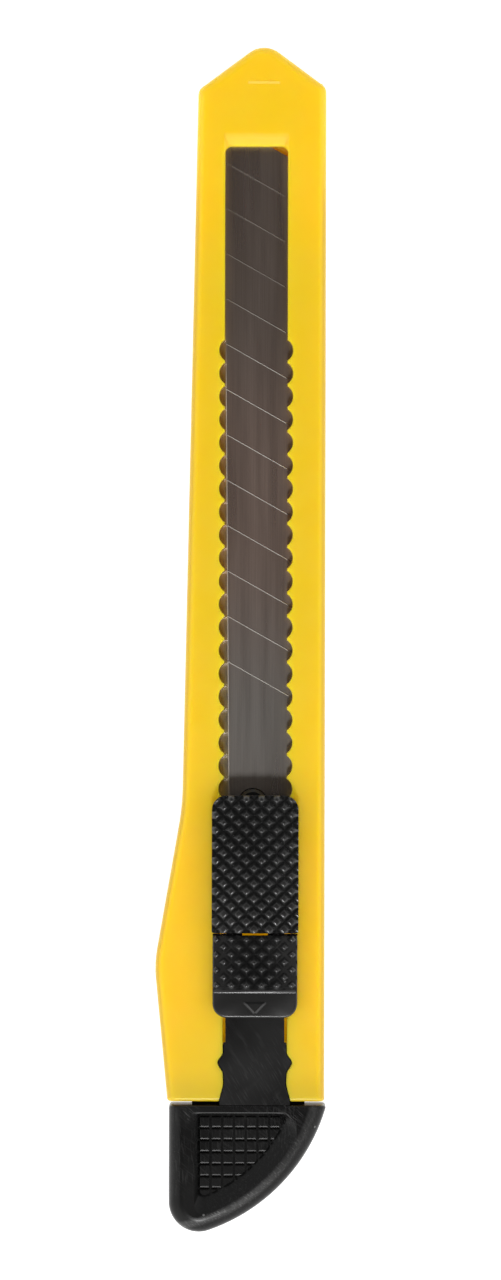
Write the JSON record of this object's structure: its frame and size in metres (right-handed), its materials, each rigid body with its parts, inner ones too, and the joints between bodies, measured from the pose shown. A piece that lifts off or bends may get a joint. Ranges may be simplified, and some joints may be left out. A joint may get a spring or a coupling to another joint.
{
  "type": "snap-off utility knife",
  "caption": "Plastic-handled snap-off utility knife with a sliding scored blade, a notched detent slider, a locking button and a removable end cap.",
  "frame": {"origin": "on the flat back of the handle, under the slot's centre line, halfway along the knife", "axes": "+Y along the knife towards the blade's mouth, +X towards the handle's straight edge, +Z out of the front face"},
  "size_m": [0.0187, 0.1303, 0.01],
  "materials": {
    "handle_plastic": "satin yellow moulded plastic",
    "blade_steel": "ground carbon steel",
    "carrier_plastic": "black moulded plastic",
    "thumb_button_plastic": "knurled black moulded plastic",
    "lock_button_plastic": "knurled black moulded plastic",
    "cap_plastic": "satin black moulded plastic, scuffed",
    "tongue_plastic": "satin black moulded plastic, scuffed"
  },
  "bodies": {
    "handle": {"handle_body": "handle_plastic"},
    "slider": {"snap_off_blade": "blade_steel", "blade_carrier": "carrier_plastic", "thumb_button": "thumb_button_plastic", "detent_arm_left": "carrier_plastic", "detent_arm_right": "carrier_plastic"},
    "lock": {"lock_button": "lock_button_plastic"},
    "cap": {"end_cap": "cap_plastic", "cap_latch_tongue": "tongue_plastic"}
  },
  "joints": [
    {"name": "blade_slide", "type": "slide", "parent": "handle", "child": "slider", "axis": [0, 1, 0], "range_m": [0, 0.06096], "deforming": ["detent_arm_left", "detent_arm_right"]},
    {"name": "lock_slide", "type": "slide", "parent": "slider", "child": "lock", "axis": [0, -1, 0], "range_m": [0, 0.0025]},
    {"name": "cap_pull", "type": "slide", "parent": "handle", "child": "cap", "axis": [0, -1, 0], "range_m": [0, 0.012], "deforming": ["cap_latch_tongue"]}
  ]
}
